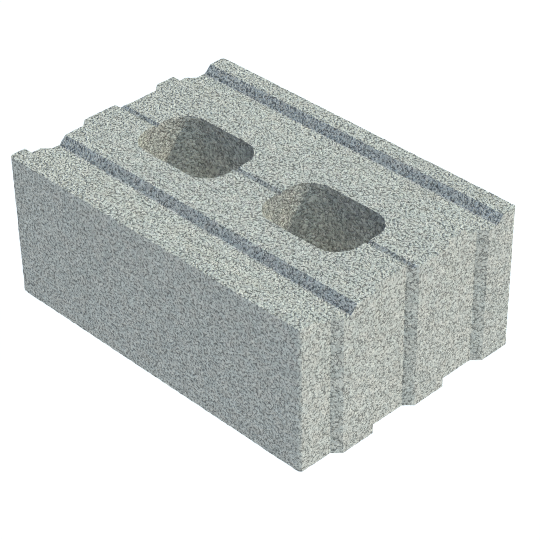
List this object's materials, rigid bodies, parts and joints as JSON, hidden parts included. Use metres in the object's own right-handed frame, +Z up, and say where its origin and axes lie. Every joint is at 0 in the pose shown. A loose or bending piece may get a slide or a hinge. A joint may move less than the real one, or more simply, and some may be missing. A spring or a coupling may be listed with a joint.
{
  "type": "concrete block",
  "caption": "Lightweight concrete wall block with keyed ends, two bed grooves along the top, a scored centre line and two grip holes.",
  "frame": {"origin": "middle of the underside, on the level floor the block stands on", "axes": "+X along the block's length, +Y across its width to the back face, +Z up"},
  "size_m": [0.498, 0.34, 0.197],
  "materials": {
    "concrete": "rough open-textured cast concrete"
  },
  "bodies": {
    "root": {"hollow_block": "concrete"}
  },
  "joints": []
}
